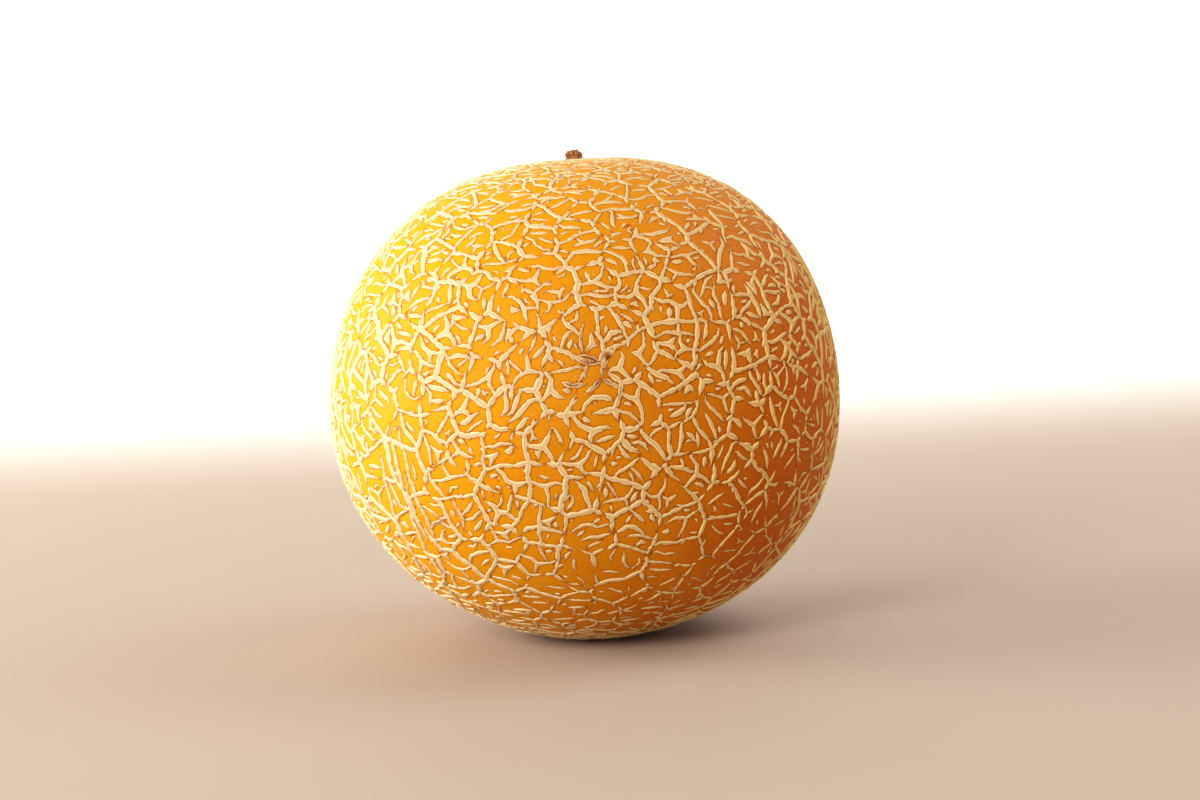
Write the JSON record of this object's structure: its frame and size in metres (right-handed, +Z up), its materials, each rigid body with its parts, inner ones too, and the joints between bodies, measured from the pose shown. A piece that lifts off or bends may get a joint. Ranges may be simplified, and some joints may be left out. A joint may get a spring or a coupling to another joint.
{
  "type": "cantaloupe melon",
  "caption": "Whole netted melon, nearly round and slightly flattened, with a raised corky net over a yellow-orange rind, a dry stem stub on top and a small flat spot to rest on.",
  "frame": {"origin": "middle of the flat resting spot, under the fruit's centre of mass", "axes": "+Z up from the blossom end to the stem, -Y towards the side that the picture shows"},
  "size_m": [0.141, 0.1406, 0.1332],
  "materials": {
    "rind": "smooth waxy rind, yellow-orange, slightly glossy",
    "net": "raised dry cork, pale tan with brown cracks, matt",
    "dry_stem": "dry fibrous stem, brown, rough"
  },
  "bodies": {
    "root": {"melon": "rind", "stem_stub": "dry_stem"}
  },
  "joints": []
}
